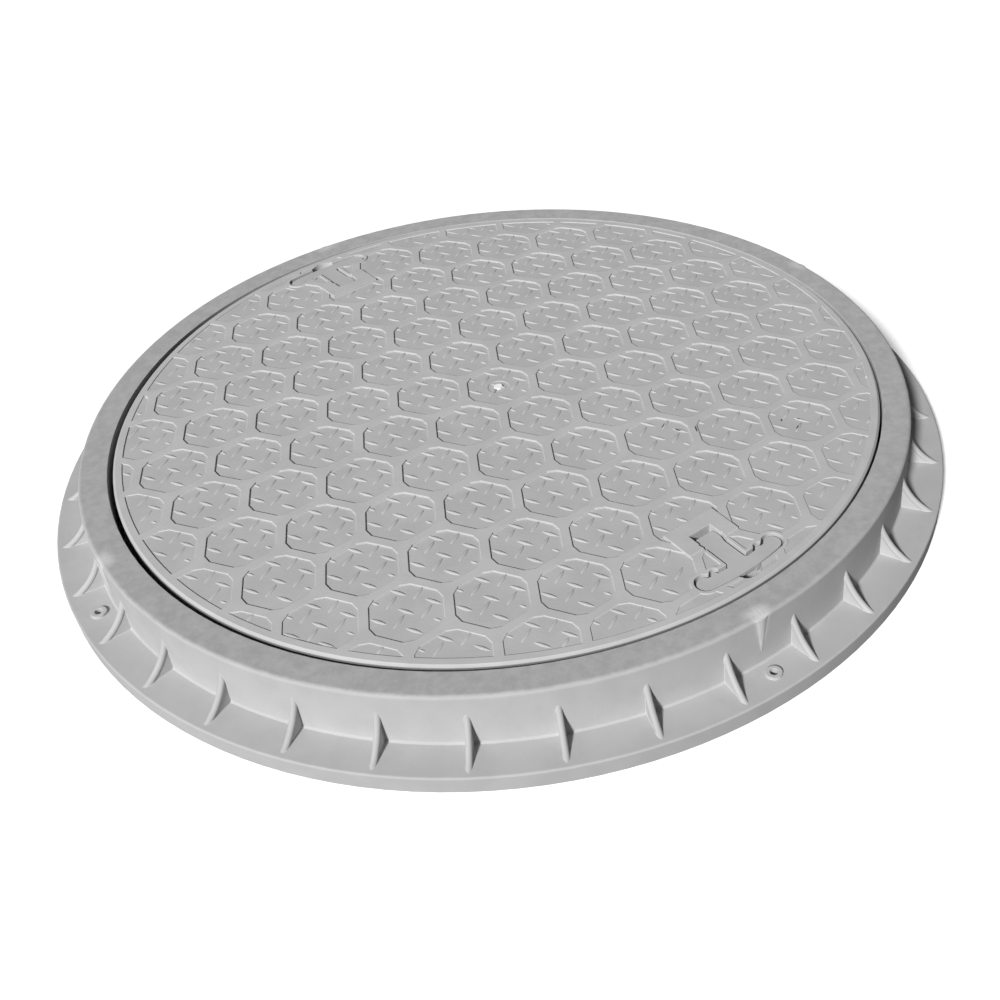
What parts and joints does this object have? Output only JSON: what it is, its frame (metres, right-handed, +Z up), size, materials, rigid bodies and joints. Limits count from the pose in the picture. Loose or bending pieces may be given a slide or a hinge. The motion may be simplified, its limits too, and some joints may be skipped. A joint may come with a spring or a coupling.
{
  "type": "manhole cover",
  "caption": "Round plastic manhole cover: a ribbed bolt-down frame, a crowned lid with a hexagon grip pattern, and T-shaped lifting handles that lie flush and swing up.",
  "frame": {"origin": "middle of the frame's underside, at the level that it rests on", "axes": "+Z up out of the lid; -Y towards the viewer of the picture; +X to the viewer's right"},
  "size_m": [0.75, 0.75, 0.0653],
  "materials": {
    "frame": "moulded polymer, faintly mottled",
    "lid": "moulded polymer, fine texture",
    "handle": "moulded polymer, smooth"
  },
  "bodies": {
    "cover": {"frame": "frame", "lid": "lid"},
    "handle_front": {"handle_front": "handle"},
    "handle_back": {"handle_back": "handle"}
  },
  "joints": [
    {"name": "handle_front_hinge", "type": "hinge", "parent": "cover", "child": "handle_front", "pos_m": [0.136, -0.22434, 0.05341], "axis": [-0.8572, -0.515, 0], "range_deg": [0, 90]},
    {"name": "handle_back_hinge", "type": "hinge", "parent": "cover", "child": "handle_back", "pos_m": [-0.1336, 0.22434, 0.05341], "axis": [0.8572, 0.515, 0], "range_deg": [0, 90]}
  ]
}
